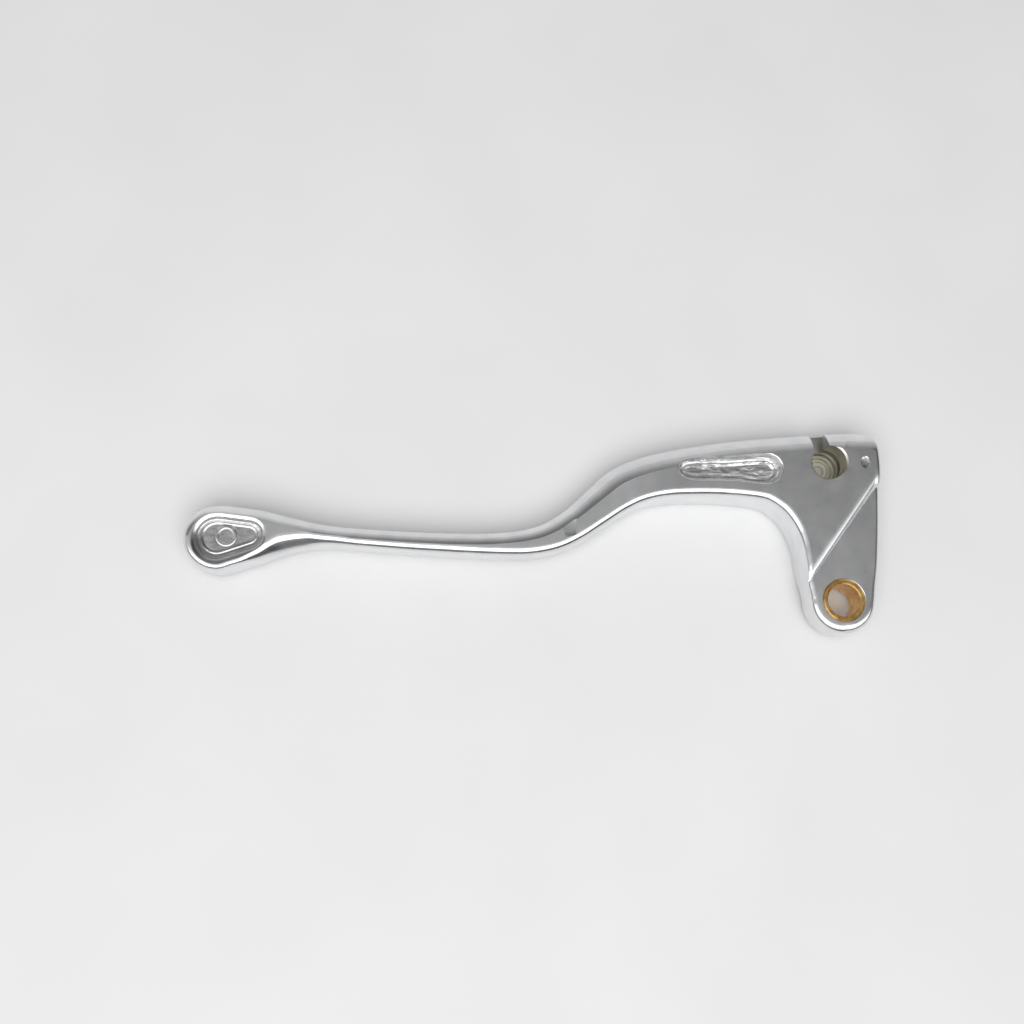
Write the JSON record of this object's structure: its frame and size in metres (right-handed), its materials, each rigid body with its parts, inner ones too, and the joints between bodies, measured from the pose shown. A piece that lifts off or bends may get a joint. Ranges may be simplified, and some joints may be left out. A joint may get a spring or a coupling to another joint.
{
  "type": "motorbike brake lever",
  "caption": "Curved cast hand lever for a cable-operated motorbike brake, with a bushed pivot eye, a blind cable barrel hole and a flattened ball end.",
  "frame": {"origin": "on the pivot axis, halfway through the bush of the eye", "axes": "+Z along the pivot axis, out of the face where the cable barrel goes in; +Y to the front of the lever, away from the handlebar; +X inboard, so that the finger blade runs to -X"},
  "size_m": [0.1676, 0.0501, 0.014],
  "materials": {
    "cast_aluminium": "die-cast aluminium, polished by hand, raw cast surface in the hollows",
    "bronze": "turned bronze, lightly tarnished"
  },
  "bodies": {
    "root": {"lever": "cast_aluminium", "pivot_bush": "bronze"}
  },
  "joints": []
}
